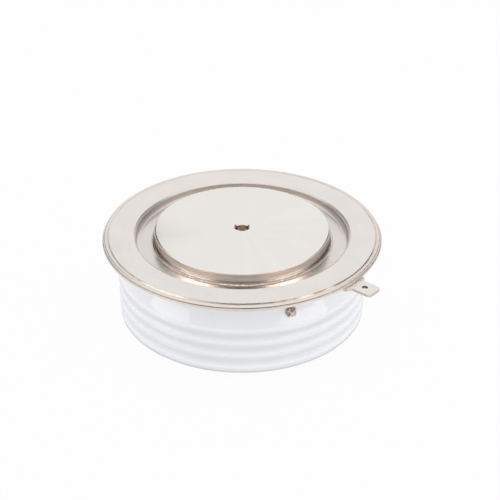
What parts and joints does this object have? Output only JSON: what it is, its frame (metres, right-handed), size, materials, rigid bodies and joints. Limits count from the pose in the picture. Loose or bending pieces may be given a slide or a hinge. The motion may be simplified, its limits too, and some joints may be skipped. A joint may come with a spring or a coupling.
{
  "type": "disc thyristor",
  "caption": "Round press-pack thyristor capsule: ribbed glazed ceramic ring, nickel-plated copper contact faces, cold-welded rim, crimped gate terminal and auxiliary cathode tab.",
  "frame": {"origin": "centre of the anode contact face, the lower one", "axes": "+Z along the capsule's axis from the anode to the cathode contact face; the gate terminal and the auxiliary cathode tab are on the -Y side, the tab towards +X"},
  "size_m": [0.0748, 0.0748, 0.026],
  "materials": {
    "plated_copper": "nickel-plated copper, lathe turned, satin",
    "plated_sheet": "nickel-plated copper sheet, satin, copper showing in the weld band",
    "braze": "plated silver-copper braze, uneven",
    "glazed_alumina": "white glazed alumina",
    "tab_metal": "nickel-plated strip, satin",
    "gate_metal": "crimped nickel-iron tube, dull",
    "molybdenum": "ground molybdenum",
    "silicon": "polished silicon with aluminium contact layer",
    "edge_rubber": "cast silicone rubber",
    "ptfe": "turned fluoropolymer",
    "gate_contact": "plated contact pin",
    "spring_steel": "drawn spring wire",
    "lead_copper": "drawn copper wire"
  },
  "bodies": {
    "root": {"anode_pole": "plated_copper", "anode_flange": "plated_sheet", "anode_braze_ring": "braze", "ceramic_housing": "glazed_alumina", "weld_flange": "plated_sheet", "auxiliary_cathode_tab": "tab_metal", "gate_tube": "gate_metal", "anode_molybdenum_disc": "molybdenum", "silicon_wafer": "silicon", "wafer_edge_rubber": "edge_rubber", "locating_ring": "ptfe", "cathode_molybdenum_disc": "molybdenum", "gate_pin": "gate_contact", "gate_spring": "spring_steel", "gate_insulator_cup": "ptfe", "gate_lead": "lead_copper", "gate_lead_sleeve": "ptfe", "cathode_pole": "plated_copper", "cathode_lid": "plated_sheet", "cathode_braze_ring": "braze"}
  },
  "joints": []
}
